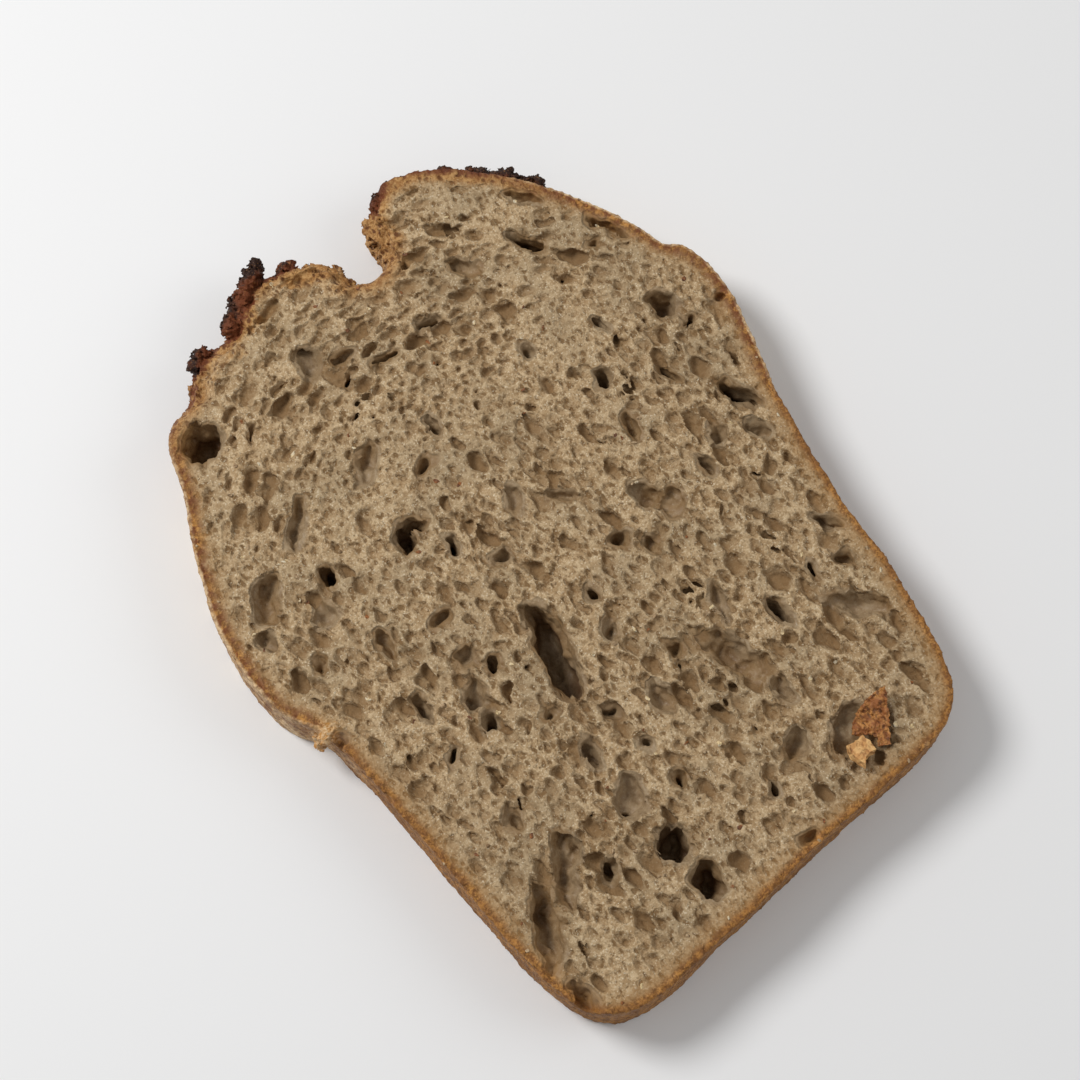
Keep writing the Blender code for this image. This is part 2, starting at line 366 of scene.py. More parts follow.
def buildCrumbTree():
    inputs = [("Wall", "Geometry", None), ("Material", "Material", None)]
    inputs += [(name, "Float", value) for name, value in crumbSizes.items()]
    inputs += [("Low", "Vector", None), ("High", "Vector", None)]
    inputs += [(name, "Object", None) for name in eggs]
    tree, groupIn, groupOut = newTree("breadFoam", inputs)
    given = {socket.name: socket for socket in groupIn.outputs}
    position = readField(tree, "GeometryNodeInputPosition")
    place = vectorMaths(tree, "SCALE", position, 1 / mm)
    spot = addNode(tree, "ShaderNodeSeparateXYZ", None, Vector=place)
    x, y, z = spot.outputs

    # slow and quick unevenness
    slow = addNode(tree, "ShaderNodeTexNoise", None, Vector=place, Scale=0.12, Detail=1.0)
    wander = addNode(tree, "ShaderNodeTexNoise", None, Vector=place, Scale=0.3, Detail=2.0)
    shift = vectorMaths(tree, "SUBTRACT", wander.outputs["Color"], (0.5, 0.5, 0.5))
    bent = vectorMaths(tree, "ADD", place, vectorMaths(tree, "SCALE", shift, 3.0))
    grain = addNode(tree, "ShaderNodeTexNoise", None, Vector=place, Scale=0.95, Detail=2.0, Roughness=0.6)
    roughness = maths(tree, "MULTIPLY", maths(tree, "SUBTRACT", grain.outputs["Fac"], 0.5), given["Grain"])

    # how deep under the outer wall, and how far from the large bubbles
    rim = maths(tree, "MULTIPLY", signedDistance(tree, given["Wall"], position), -1.0)
    drift = maths(tree, "SUBTRACT", slow.outputs["Fac"], 0.5)
    crust = maths(tree, "ADD", rim, maths(tree, "MULTIPLY", drift, 0.9))
    bentSmall = vectorMaths(tree, "ADD", position, vectorMaths(tree, "SCALE", shift, 3.2 * mm))
    jag = addNode(tree, "ShaderNodeTexNoise", None, Vector=place, Scale=1.1, Detail=2.0, Roughness=0.7)
    jagShift = vectorMaths(tree, "SUBTRACT", jag.outputs["Color"], (0.5, 0.5, 0.5))
    jagged = vectorMaths(tree, "ADD", position, vectorMaths(tree, "SCALE", jagShift, 2.2 * mm))
    large, scrap = None, None
    for name in eggs:
        source = addNode(tree, "GeometryNodeObjectInfo", None, Object=given[name]).outputs["Geometry"]
        if name.startswith("Bubbles"):
            found = signedDistance(tree, source, bentSmall)
            large = found if large is None else maths(tree, "MINIMUM", large, found)
        else:
            found = signedDistance(tree, source, jagged)
            scrap = found if scrap is None else maths(tree, "MINIMUM", scrap, found)

    # the knife's two faces, and where the dome tore
    scrape = maths(tree, "MULTIPLY", drift, 0.5)
    tornSpan = maths(tree, "MULTIPLY", remap(tree, y, tear["start"], tear["full"], 0.0, 1.0),
                     remap(tree, x, tear["sideEnd"], tear["side"], 0.0, 1.0))
    bite = maths(tree, "MULTIPLY", remap(tree, wander.outputs["Fac"], 0.44, 0.66, 0.0, 2.2), tornSpan)
    shred = maths(tree, "MULTIPLY", remap(tree, jag.outputs["Fac"], 0.4, 0.7, 0.0, 1.6), tornSpan)
    crust = maths(tree, "SUBTRACT", crust, maths(tree, "ADD", bite, shred))
    sway = maths(tree, "SUBTRACT", wander.outputs["Fac"], 0.5)
    ragged = maths(tree, "ADD", rim, maths(tree, "MULTIPLY", sway, 9.0))
    torn = maths(tree, "MULTIPLY", tornSpan, remap(tree, ragged, tear["reach"], 0.0, 0.0, tear["depth"]))
    top = maths(tree, "ADD", given["Thickness"], scrape)
    top = maths(tree, "SUBTRACT", top, maths(tree, "ADD", torn, 0.3))
    below = maths(tree, "MINIMUM", maths(tree, "SUBTRACT", top, z), z)

    # the rise stretched the pores: upright in the lower part, along the dome near the top
    otherFace = 211.0  # shifts the pattern, so that the two faces don't show the same pores
    bentSpot = addNode(tree, "ShaderNodeSeparateXYZ", None, Vector=bent)
    inBack = maths(tree, "LESS_THAN", z, maths(tree, "MULTIPLY", given["Thickness"], 0.5))
    under = maths(tree, "MULTIPLY", inBack, otherFace)
    bx, by = bentSpot.outputs[0], bentSpot.outputs[1]
    bz = maths(tree, "MULTIPLY", bentSpot.outputs[2], 1.3)
    upright = addNode(tree, "ShaderNodeCombineXYZ", None, X=maths(tree, "ADD", bx, under),
                      Y=maths(tree, "DIVIDE", by, given["Stretch"]), Z=bz)
    turnY = maths(tree, "SUBTRACT", by, domeCentre)
    angle = maths(tree, "ARCTAN2", bx, turnY)
    along = maths(tree, "DIVIDE", maths(tree, "MULTIPLY", angle, domeRadius), given["Stretch"])
    squares = maths(tree, "ADD", maths(tree, "MULTIPLY", bx, bx), maths(tree, "MULTIPLY", turnY, turnY))
    away = maths(tree, "SQRT", squares)
    domed = addNode(tree, "ShaderNodeCombineXYZ", None, X=along,
                    Y=maths(tree, "ADD", away, maths(tree, "ADD", under, 300.0)), Z=bz)
    nearDome = remap(tree, y, risenFrom, risenTo, 0.0, 1.0)
    inner = remap(tree, rim, 0.9, 4.5, 0.0, 1.0)
    skin = remap(tree, below, 3.6, 2.0, 0.0, 1.0)

    lower = maths(tree, "SUBTRACT", 1.0, nearDome)
    crowdNoise = addNode(tree, "ShaderNodeTexNoise", None, Vector=upright.outputs[0], Scale=0.055, Detail=1.0)
    crowd = {
        "Deep": 1.0, "Medium": remap(tree, crowdNoise.outputs["Fac"], 0.38, 0.6, 0.3, 1.15),
        "Small": remap(tree, crowdNoise.outputs["Fac"], 0.35, 0.5, 0.6, 1.0),
    }
    pores = []
    for name, field, weight, depth in (
        ("Deep", upright, skin, None), ("Medium", upright, lower, below), ("Medium", domed, nearDome, below),
        ("Small", upright, lower, below), ("Small", domed, nearDome, below),
    ):
        shrink = maths(tree, "MULTIPLY", inner, weight)
        share = maths(tree, "MULTIPLY", given[name + " share"], crowd[name])
        pores.append(poreLayer(tree, field.outputs[0], given[name + " cell"], given[name + " least"],
                               given[name + " most"], share, shrink, depth))

    blisters = maths(tree, "MULTIPLY", maths(tree, "SUBTRACT", jag.outputs["Fac"], 0.5), 0.9)
    crust = maths(tree, "ADD", crust, blisters)
    solid = maths(tree, "SMOOTH_MIN", crust, maths(tree, "SUBTRACT", top, z), 0.4)
    solid = maths(tree, "SMOOTH_MIN", solid, z, 0.4)
    nearest = pores[0]
    for pore in pores[1:]:
        nearest = maths(tree, "MINIMUM", nearest, pore)
    solid = maths(tree, "SMOOTH_MIN", solid, nearest, 0.15)
    solid = maths(tree, "SMOOTH_MIN", solid, large, 0.4)
    crackle = addNode(tree, "ShaderNodeTexNoise", None, Vector=place, Scale=1.9, Detail=1.0)
    cracks = maths(tree, "MULTIPLY", maths(tree, "SUBTRACT", crackle.outputs["Fac"], 0.46), 2.8)
    scrap = maths(tree, "ADD", scrap, cracks)
    solid = maths(tree, "MAXIMUM", solid, maths(tree, "MULTIPLY", scrap, -1.0))
    solid = maths(tree, "ADD", solid, roughness)

    blur = maths(tree, "MULTIPLY", given["Voxel"], 4.0)
    fog = maths(tree, "ADD", maths(tree, "DIVIDE", solid, blur), 0.5, clamp=True)
    size = vectorMaths(tree, "SUBTRACT", given["High"], given["Low"])
    count = vectorMaths(tree, "SCALE", size, maths(tree, "DIVIDE", 1 / mm, given["Voxel"]))
    counts = addNode(tree, "ShaderNodeSeparateXYZ", None, Vector=count)
    cube = addNode(tree, "GeometryNodeVolumeCube", None, Density=fog, Background=0.0, Min=given["Low"],
                   Max=given["High"], Resolution_X=counts.outputs[0], Resolution_Y=counts.outputs[1],
                   Resolution_Z=counts.outputs[2])
    shell = addNode(tree, "GeometryNodeVolumeToMesh", None, Volume=cube.outputs[0], Threshold=0.5,
                    Adaptivity=0.0)

    # only the bread itself: closed hollows inside it and loose specks go
    island = addNode(tree, "GeometryNodeInputMeshIsland")
    members = addNode(tree, "GeometryNodeAccumulateField", {"data_type": "INT"}, Value=1,
                      Group_ID=island.outputs[0])
    biggest = addNode(tree, "GeometryNodeAttributeStatistic", {"data_type": "FLOAT"},
                      Geometry=shell.outputs[0], Attribute=members.outputs["Total"])
    stray = maths(tree, "LESS_THAN", members.outputs["Total"], biggest.outputs["Max"])
    clean = addNode(tree, "GeometryNodeDeleteGeometry", {"domain": "POINT"}, Geometry=shell.outputs[0],
                    Selection=stray)
    mesh = clean.outputs[0]
    for label, value in zip(storedFields, (crust, large, nearest, below, scrap)):
        store = addNode(tree, "GeometryNodeStoreNamedAttribute", {"data_type": "FLOAT", "domain": "POINT"},
                        Geometry=mesh, Name=label, Value=value)
        mesh = store.outputs[0]
    smooth = addNode(tree, "GeometryNodeSetShadeSmooth", None, Geometry=mesh)
    finishTree(tree, smooth.outputs[0], given["Material"], groupOut)
    return tree


def newMaterial(name):
    material = bpy.data.materials.new(name)
    material.use_nodes = True
    tree = material.node_tree
    shader = tree.nodes["Principled BSDF"]
    return material, tree, shader


def srgb(red, green, blue):
    # a colour as seen on a screen, 0 to 255, turned to the renderer's linear values
    def toLinear(value):
        value = value / 255
        return value / 12.92 if value <= 0.04045 else ((value + 0.055) / 1.055) ** 2.4
    return (toLinear(red), toLinear(green), toLinear(blue), 1.0)


def mixColour(tree, factor, first, second):
    node = tree.nodes.new("ShaderNodeMix")
    node.data_type = "RGBA"
    node.clamp_factor = True
    for name, value in (("Factor", factor), ("A", first), ("B", second)):
        setInput(tree, node, name, value)
    return findSocket(node.outputs, "Result")


def noiseField(tree, place, scale, detail=2.0, roughness=0.5):
    node = addNode(tree, "ShaderNodeTexNoise", None, Vector=place, Scale=scale, Detail=detail,
                   Roughness=roughness)
    return node.outputs["Fac"]


def millimetres(tree):
    # object coordinates in millimetres
    coordinates = addNode(tree, "ShaderNodeTexCoord")
    return vectorMaths(tree, "SCALE", coordinates.outputs["Object"], 1 / mm)


def readAttribute(tree, name):
    node = addNode(tree, "ShaderNodeAttribute", {"attribute_name": name})
    return node.outputs["Fac"]


breadColours = {
    "crumbPale": srgb(206, 180, 142),
    "crumbMiddle": srgb(168, 138, 100),
    "crumbShade": srgb(118, 88, 52),
    "paintedGlint": srgb(222, 206, 178),
    "crumbGrey": srgb(164, 143, 112),
    "poreFloor": srgb(132, 102, 66),
    "deepPoreShade": srgb(72, 42, 16),
    "filmGrey": srgb(140, 118, 90),
    "torn": srgb(158, 110, 58),
    "tornPale": srgb(196, 152, 96),
    "tornPoreShade": srgb(100, 58, 26),
    "toasted": srgb(158, 116, 66),
    "crustGold": srgb(190, 134, 66),
    "crustBrown": srgb(122, 80, 38),
    "crustRed": srgb(110, 56, 26),
    "burnt": srgb(48, 26, 16),
    "flour": srgb(226, 194, 150),
}
breadRoughness = {"crumb": 0.86, "film": 0.55, "crust": 0.62, "paintedGlint": 0.3}
# millimetres: heights are measured from the slice's middle, depths from its crust or its cut face
breadFinish = {
    "poreSize": 1.25,
    "reliefStrength": 0.75,
    "reliefDepth": 0.4,
    "shadeFrom": 2.2,
    "shadeTo": 7.0,
    "tinLineLow": -13.0,
    "tinLineHigh": 3.0,
    "crustBelowTin": 1.9,
    "crustAboveTin": 3.0,
    "toastedDepth": 4.6,
    "domeLow": 42.0,
    "domeHigh": 58.0,
    "notchMiddle": 7.0,
    "tornWide": 6.5,
    "tornNarrow": 3.4,
    "burntFrom": 20.0,
}


def buildPoreGrain():
    # fine pores and cell walls too small to model: a height, and a mask of the pores' floors
    tree = bpy.data.node_groups.new("poreGrain", "ShaderNodeTree")
    tree.interface.new_socket("Place", in_out="INPUT", socket_type="NodeSocketVector")
    tree.interface.new_socket("Pore size", in_out="INPUT", socket_type="NodeSocketFloat")
    tree.interface.new_socket("Height", in_out="OUTPUT", socket_type="NodeSocketFloat")
    tree.interface.new_socket("Hollow", in_out="OUTPUT", socket_type="NodeSocketFloat")
    groupIn = tree.nodes.new("NodeGroupInput")
    groupOut = tree.nodes.new("NodeGroupOutput")
    place = vectorMaths(tree, "MULTIPLY", groupIn.outputs[0], (1.0, 0.68, 0.8))
    size = groupIn.outputs[1]
    shift = addNode(tree, "ShaderNodeTexNoise", None, Vector=place, Scale=0.9, Detail=2.0)
    centred = vectorMaths(tree, "SUBTRACT", shift.outputs["Color"], (0.5, 0.5, 0.5))
    bent = vectorMaths(tree, "ADD", place, vectorMaths(tree, "SCALE", centred, 1.4))
    heights, hollows = [], []
    for factor, reach in ((1.0, 0.42), (0.5, 0.36)):
        scaled = vectorMaths(tree, "SCALE", bent, maths(tree, "DIVIDE", 1 / factor, size))
        cells = addNode(tree, "ShaderNodeTexVoronoi", {"feature": "F1"}, Vector=scaled, Scale=1.0)
        away = cells.outputs["Distance"]
        heights.append(maths(tree, "MULTIPLY", remap(tree, away, 0.0, reach + 0.2, 0.0, 1.0), factor))
        hollows.append(remap(tree, away, reach - 0.2, reach, 1.0, 0.0))
    crumbs = noiseField(tree, place, 3.2, 3.0, 0.65)
    height = maths(tree, "ADD", maths(tree, "ADD", *heights), maths(tree, "MULTIPLY", crumbs, 0.8))
    hollow = maths(tree, "MAXIMUM", hollows[0], maths(tree, "MULTIPLY", hollows[1], 0.6))
    tree.links.new(height, groupOut.inputs[0])
    tree.links.new(hollow, groupOut.inputs[1])
    return tree


poreGrain = buildPoreGrain()


def buildBreadMaterial():
    material, tree, shader = newMaterial("ryeBread")
    place = millimetres(tree)
    rim, bubble, pore, sunk, scrap = (readAttribute(tree, name) for name in storedFields)
    spot = addNode(tree, "ShaderNodeSeparateXYZ", None, Vector=place)
    x, y = spot.outputs[0], spot.outputs[1]
    grain = addNode(tree, "ShaderNodeGroup", {"node_tree": poreGrain}, Place=place,
                    Pore_size=breadFinish["poreSize"])
    mottle = noiseField(tree, place, 0.09, 2.0)
    flecks = noiseField(tree, place, 0.9, 3.0, 0.65)
    specks = noiseField(tree, place, 3.4, 2.0, 0.6)

    # the crumb: pale cell walls, browner pores whose floors are darkened with painted shade, painted glints,
    # slow drifts of grey
    tone = maths(tree, "ADD", maths(tree, "MULTIPLY", flecks, 0.6), maths(tree, "MULTIPLY", specks, 0.4))
    crumb = mixColour(tree, remap(tree, tone, 0.4, 0.62, 0.0, 1.0), breadColours["crumbMiddle"],
                      breadColours["crumbPale"])
    crumb = mixColour(tree, remap(tree, mottle, 0.4, 0.7, 0.0, 0.6), crumb, breadColours["crumbGrey"])
    # painted shade: the floors of the fine pores are darkened
    crumb = mixColour(tree, maths(tree, "MULTIPLY", grain.outputs["Hollow"], 0.85), crumb,
                      breadColours["crumbShade"])
    # the modelled pores' floors: a browner film, painted darker the deeper they lie below the cut face, as
    # painted shade
    pitFilmAndShade = maths(tree, "MULTIPLY", remap(tree, pore, 0.04, 0.3, 1.0, 0.0),
                remap(tree, sunk, 0.2, 1.5, 0.3, 0.9))
    crumb = mixColour(tree, pitFilmAndShade, crumb, breadColours["poreFloor"])
    # painted highlight: pale specks on the cell walls stand for glints of light; they are also made glossier,
    # and kept off the pores' floors
    paintedGlintMask = maths(tree, "MULTIPLY", remap(tree, specks, 0.6, 0.7, 0.0, 0.8),
                  maths(tree, "SUBTRACT", 1.0, pitFilmAndShade))
    crumb = mixColour(tree, paintedGlintMask, crumb, breadColours["paintedGlint"])
    film = remap(tree, bubble, 0.25, 0.9, 1.0, 0.0)
    filmTone = mixColour(tree, remap(tree, mottle, 0.42, 0.6, 0.0, 1.0), breadColours["filmGrey"],
                         breadColours["poreFloor"])
    crumb = mixColour(tree, maths(tree, "MULTIPLY", film, 0.75), crumb, filmTone)
    # painted shade: crumb that lies deep below the cut face, as in the deep pores, is painted dark brown
    shade = remap(tree, sunk, breadFinish["shadeFrom"], breadFinish["shadeTo"], 0.0, 0.9)
    crumb = mixColour(tree, shade, crumb, breadColours["deepPoreShade"])

    # the crust: grainy gold and brown, redder with dark pores and flour above the tin
    wander = noiseField(tree, place, 0.35, 3.0)
    edgeWander = maths(tree, "MULTIPLY", maths(tree, "SUBTRACT", wander, 0.5), 2.4)
    under = maths(tree, "ADD", rim, edgeWander)
    tinLine = maths(tree, "ADD", y, maths(tree, "MULTIPLY", maths(tree, "SUBTRACT", mottle, 0.5), 30.0))
    aboveTin = remap(tree, tinLine, breadFinish["tinLineLow"], breadFinish["tinLineHigh"], 0.0, 1.0)
    toasted = remap(tree, under, breadFinish["toastedDepth"], 1.0, 0.0, 0.6)
    colour = mixColour(tree, toasted, crumb, breadColours["toasted"])
    grainy = remap(tree, tone, 0.4, 0.6, 0.0, 1.0)
    crust = mixColour(tree, grainy, breadColours["crustBrown"], breadColours["crustGold"])
    patches = remap(tree, noiseField(tree, place, 0.16, 4.0, 0.6), 0.4, 0.66, 0.0, 0.6)
    crust = mixColour(tree, patches, crust, breadColours["crustBrown"])
    redder = remap(tree, noiseField(tree, place, 0.8, 3.0, 0.6), 0.43, 0.57, 0.0, 0.8)
    redder = maths(tree, "MULTIPLY", redder, remap(tree, aboveTin, 0.0, 1.0, 0.22, 1.0))
    crust = mixColour(tree, redder, crust, breadColours["crustRed"])
    dustField = noiseField(tree, place, 0.22, 4.0, 0.7)
    skin = maths(tree, "MULTIPLY", remap(tree, rim, 0.7, 0.2, 0.0, 1.0), aboveTin)
    skinDust = maths(tree, "MULTIPLY", skin, remap(tree, dustField, 0.36, 0.56, 0.1, 0.95))
    dust = maths(tree, "MAXIMUM", remap(tree, dustField, 0.6, 0.76, 0.0, 0.3), skinDust)
    dust = maths(tree, "MULTIPLY", dust, remap(tree, flecks, 0.38, 0.58, 0.35, 1.0))
    crust = mixColour(tree, dust, crust, breadColours["flour"])
    band = maths(tree, "ADD", rim, maths(tree, "MULTIPLY", edgeWander, 0.5))
    crustDepth = remap(tree, aboveTin, 0.0, 1.0, breadFinish["crustBelowTin"], breadFinish["crustAboveTin"])
    wall = remap(tree, band, crustDepth, 0.6, 0.0, 1.0)
    colour = mixColour(tree, wall, colour, crust)

    # the torn dome: golden crumb, then red and burnt towards the edge
    dome = remap(tree, y, breadFinish["domeLow"], breadFinish["domeHigh"], 0.0, 1.0)
    tornWidth = remap(tree, x, 12.0, 22.0, breadFinish["tornWide"], breadFinish["tornNarrow"])
    toast = maths(tree, "MULTIPLY", dome, remap(tree, under, tornWidth, 1.3, 0.0, 0.9))
    tornTone = mixColour(tree, remap(tree, tone, 0.42, 0.6, 0.0, 1.0), breadColours["torn"],
                         breadColours["tornPale"])
    # painted shade: the floors of the fine pores in the torn crumb are painted dark
    tornTone = mixColour(tree, grain.outputs["Hollow"], tornTone, breadColours["tornPoreShade"])
    colour = mixColour(tree, toast, colour, tornTone)
    notch = maths(tree, "ABSOLUTE", maths(tree, "SUBTRACT", x, breadFinish["notchMiddle"]))
    scorch = remap(tree, maths(tree, "ADD", under, edgeWander), 1.4, -0.4, 0.0, 1.0)
    scorch = maths(tree, "MULTIPLY", scorch, maths(tree, "MULTIPLY", dome,
                                                   remap(tree, notch, 7.0, 12.0, 0.05, 1.0)))
    colour = mixColour(tree, scorch, colour, breadColours["crustRed"])
    burn = remap(tree, maths(tree, "ADD", scrap, edgeWander), 1.6, 0.2, 0.0, 1.0)
    charred = maths(tree, "ADD", rim, maths(tree, "MULTIPLY", edgeWander, 1.5))
    burnTone = mixColour(tree, remap(tree, charred, 1.0, -1.6, 0.0, 1.0), breadColours["crustRed"],
                         breadColours["burnt"])
    burnTone = mixColour(tree, remap(tree, specks, 0.58, 0.7, 0.0, 0.5), burnTone, breadColours["torn"])
    floury = mixColour(tree, grainy, breadColours["crustGold"], breadColours["flour"])
    burntFrom = breadFinish["burntFrom"]
    lowDown = remap(tree, y, burntFrom, burntFrom + 4.0, 1.0, 0.0)
    burnTone = mixColour(tree, lowDown, burnTone, floury)
    colour = mixColour(tree, burn, colour, burnTone)
    tree.links.new(colour, shader.inputs["Base Color"])

    grey = {name: (value, value, value, 1.0) for name, value in breadRoughness.items()}
    rough = mixColour(tree, film, grey["crumb"], grey["film"])
    rough = mixColour(tree, wall, rough, grey["crust"])
    rough = mixColour(tree, paintedGlintMask, rough, grey["paintedGlint"])
    tree.links.new(rough, shader.inputs["Roughness"])
    smoother = maths(tree, "MAXIMUM", maths(tree, "MULTIPLY", film, 0.8), maths(tree, "MULTIPLY", pitFilmAndShade, 0.55))
    relief = maths(tree, "MULTIPLY", grain.outputs["Height"], maths(tree, "SUBTRACT", 1.0, smoother))
    bump = addNode(tree, "ShaderNodeBump", None, Height=relief, Strength=breadFinish["reliefStrength"],
                   Distance=breadFinish["reliefDepth"] * mm)
    tree.links.new(bump.outputs[0], shader.inputs["Normal"])
    shader.inputs["Specular IOR Level"].default_value = 0.3
    return material


breadMaterial = buildBreadMaterial()

margin = Vector((1.2, 1.2, 0.6)) * mm
low = Vector(sliceLow) - margin
high = Vector(sliceHigh) + margin
foamValues = crumbSizes | eggs | {"Low": list(low), "High": list(high), "Material": breadMaterial}
bread = runTree("bread", buildCrumbTree(), foamValues, buildWall(outline))
print("bread:", len(bread.vertices), "points", len(bread.polygons), "faces")


def cutBlock(mesh, name, low, high):
    # the part of a closed mesh inside one box, closed again where the box cuts it
    piece = linkObject(name, mesh.copy())
    bm = bmesh.new()
    bmesh.ops.create_cube(bm, size=1.0)
    for vert in bm.verts:
        vert.co = Vector([high[k] if vert.co[k] > 0 else low[k] for k in range(3)])
    cutterMesh = bpy.data.meshes.new(name + "Cutter")
    bm.to_mesh(cutterMesh)
    bm.free()
    cutter = linkObject(name + "Cutter", cutterMesh)
    boolean = piece.modifiers.new("cut", "BOOLEAN")
    boolean.operation = "INTERSECT"
    boolean.solver = "MANIFOLD"
    boolean.object = cutter
    bpy.context.view_layer.update()
    graph = bpy.context.evaluated_depsgraph_get()
    result = bpy.data.meshes.new_from_object(piece.evaluated_get(graph), depsgraph=graph)
    result.name = name
    bpy.data.objects.remove(piece)
    bpy.data.objects.remove(cutter)
    return linkObject(name, result)


def buildReadBackTree():
    # a cut leaves its new points without values, so each takes those of the whole bread's nearest point
    tree, groupIn, groupOut = newTree("readBack", [
        ("Piece", "Geometry", None), ("Whole", "Object", None), ("Material", "Material", None),
    ])
    given = {socket.name: socket for socket in groupIn.outputs}
    whole = addNode(tree, "GeometryNodeObjectInfo", None, Object=given["Whole"]).outputs["Geometry"]
    nearest = addNode(tree, "GeometryNodeSampleNearest", {"domain": "POINT"}, Geometry=whole)
    mesh = given["Piece"]
    for label in storedFields:
        value = addNode(tree, "GeometryNodeInputNamedAttribute", {"data_type": "FLOAT"}, Name=label)
        read = addNode(tree, "GeometryNodeSampleIndex", {"data_type": "FLOAT", "domain": "POINT"},
                       Geometry=whole, Value=value.outputs["Attribute"], Index=nearest.outputs[0])
        store = addNode(tree, "GeometryNodeStoreNamedAttribute", {"data_type": "FLOAT", "domain": "POINT"},
                        Geometry=mesh, Name=label, Value=read.outputs[0])
        mesh = store.outputs[0]
    finishTree(tree, mesh, given["Material"], groupOut)
    return tree


readBackTree = buildReadBackTree()
wholeBread = linkObject("wholeBread", bread)
far = 1.0  # a block's reach where nothing is cut, in metres
sharpEdge = math.radians(75)
middle = sliceLow[2] + 0.5 * thickness * mm
blocks = {}
rows = {"Base": (-far, -0.026), "Middle": (-0.026, 0.019), "Dome": (0.019, far)}
for rowName, (rowLow, rowHigh) in rows.items():
    for sideName, sideLow, sideHigh in (("Left", -far, 0.0), ("Right", 0.0, far)):
        blocks["face" + rowName + sideName] = ((sideLow, rowLow, middle), (sideHigh, rowHigh, far))
    blocks["back" + rowName] = ((-far, rowLow, -far), (far, rowHigh, middle))
breadPieces = []
for name, (lowCorner, highCorner) in blocks.items():
    cut = cutBlock(bread, name + "Cut", lowCorner, highCorner)
    values = {"Whole": wholeBread, "Material": breadMaterial}
    piece = linkObject(name, runTree(name, readBackTree, values, cut.data))
    bpy.data.objects.remove(cut)
    piece.data.shade_smooth()
    piece.data.set_sharp_from_angle(angle=sharpEdge)
    breadPieces.append(piece)
    triangles = sum(len(polygon.vertices) - 2 for polygon in piece.data.polygons)
    print(name, len(piece.data.vertices), "points", triangles, "triangles")

# how many bits to a square metre of cut face, and their size in metres
looseBits = {
    "crumbs": {"density": 9000.0, "size": 0.00042},
    "flecks": {"density": 5200.0, "size": 0.0005},
}


def buildScatterTree(name, flatness):
    # small shapes spread over the upward parts of a mesh, each turned and sized at random
    tree, groupIn, groupOut = newTree(name, [
        ("Ground", "Geometry", None), ("Density", "Float", 1000.0), ("Size", "Float", 0.0005),
        ("Seed", "Int", 1), ("Material", "Material", None),
    ])
    given = {socket.name: socket for socket in groupIn.outputs}
    normal = addNode(tree, "ShaderNodeSeparateXYZ", None, Vector=readField(tree, "GeometryNodeInputNormal"))
    sunk = addNode(tree, "GeometryNodeInputNamedAttribute", {"data_type": "FLOAT"}, Name="sunk")
    facing = maths(tree, "MULTIPLY", maths(tree, "GREATER_THAN", normal.outputs[2], 0.75),
                   maths(tree, "LESS_THAN", sunk.outputs["Attribute"], 0.9))
    points = addNode(tree, "GeometryNodeDistributePointsOnFaces", None, Mesh=given["Ground"],
                     Selection=facing, Density=given["Density"], Seed=given["Seed"])
    shape = addNode(tree, "GeometryNodeMeshIcoSphere", None, Radius=1.0, Subdivisions=2)
    turn = addNode(tree, "FunctionNodeRandomValue", {"data_type": "FLOAT_VECTOR"}, Min=(-0.5, -0.5, 0.0),
                   Max=(0.5, 0.5, 6.28), Seed=given["Seed"])
    scale = addNode(tree, "FunctionNodeRandomValue", {"data_type": "FLOAT_VECTOR"}, Min=(0.35, 0.35, 0.35),
                    Max=(1.3, 1.0, 1.0), Seed=maths(tree, "ADD", given["Seed"], 7.0))
    flat = vectorMaths(tree, "MULTIPLY", scale.outputs["Value"], (1.0, 1.0, flatness))
    sized = vectorMaths(tree, "SCALE", flat, given["Size"])
    placed = addNode(tree, "GeometryNodeInstanceOnPoints", None, Points=points.outputs["Points"],
                     Instance=shape.outputs["Mesh"], Rotation=turn.outputs["Value"], Scale=sized)
    apart = addNode(tree, "GeometryNodeRealizeInstances", None, Geometry=placed.outputs[0])
    lumps = addNode(tree, "ShaderNodeTexNoise", None, Vector=readField(tree, "GeometryNodeInputPosition"),
                    Scale=2600.0, Detail=1.0)
    push = vectorMaths(tree, "SCALE", vectorMaths(tree, "SUBTRACT", lumps.outputs["Color"], (0.5, 0.5, 0.5)),
                       maths(tree, "MULTIPLY", given["Size"], 1.1))
    moved = addNode(tree, "GeometryNodeSetPosition", None, Geometry=apart.outputs[0], Offset=push)
    finishTree(tree, moved.outputs[0], given["Material"], groupOut)
    return tree


def buildBitMaterial(name, first, second, hollowShade, roughness):
    # two tones that change from bit to bit and over each bit, with the hollows darkened as painted shade
    material, tree, shader = newMaterial(name)
    place = millimetres(tree)
    grain = addNode(tree, "ShaderNodeGroup", {"node_tree": poreGrain}, Place=place, Pore_size=0.95)
    tone = remap(tree, noiseField(tree, place, 0.8, 3.0, 0.6), 0.4, 0.6, 0.0, 1.0)
    colour = mixColour(tree, tone, first, second)
    # painted shade in the hollows of the fine grain
    colour = mixColour(tree, maths(tree, "MULTIPLY", grain.outputs["Hollow"], 0.75), colour, hollowShade)
    tree.links.new(colour, shader.inputs["Base Color"])
    shader.inputs["Roughness"].default_value = roughness
    bump = addNode(tree, "ShaderNodeBump", None, Height=grain.outputs["Height"], Strength=0.8,
                   Distance=0.3 * mm)
    tree.links.new(bump.outputs[0], shader.inputs["Normal"])
    return material


